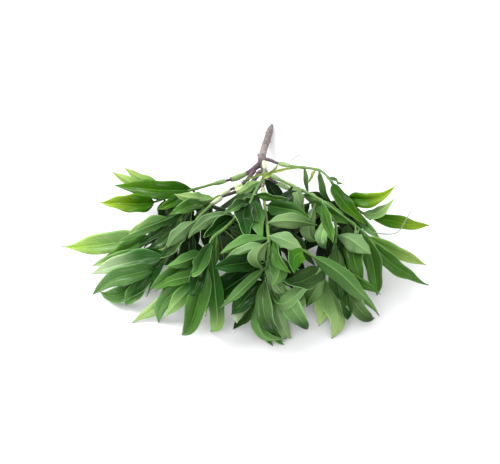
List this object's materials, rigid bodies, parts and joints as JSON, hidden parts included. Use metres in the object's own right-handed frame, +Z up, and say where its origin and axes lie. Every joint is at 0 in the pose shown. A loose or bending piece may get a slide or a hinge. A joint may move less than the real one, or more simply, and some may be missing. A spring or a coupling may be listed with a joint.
{
  "type": "bay leaf branch",
  "caption": "Bushy cut branch with long narrow green leaves on thin stems from a forked woody stem, lying down.",
  "frame": {"origin": "middle of the branch on the surface that it lies on", "axes": "+Z up, +X across the branch, +Y back along the woody stem to its cut end; the leaf tips are at the front, toward -Y"},
  "size_m": [0.36, 0.3389, 0.0975],
  "materials": {
    "bark": "matt",
    "leaf": "satin"
  },
  "bodies": {
    "root": {"woody_stem": "bark", "spray_high_left": "leaf", "spray_mid_left": "leaf", "spray_low_left": "leaf", "spray_front_left": "leaf", "spray_top": "leaf", "spray_centre": "leaf", "spray_low_right": "leaf", "spray_right": "leaf", "spray_high_right": "leaf"}
  },
  "joints": []
}
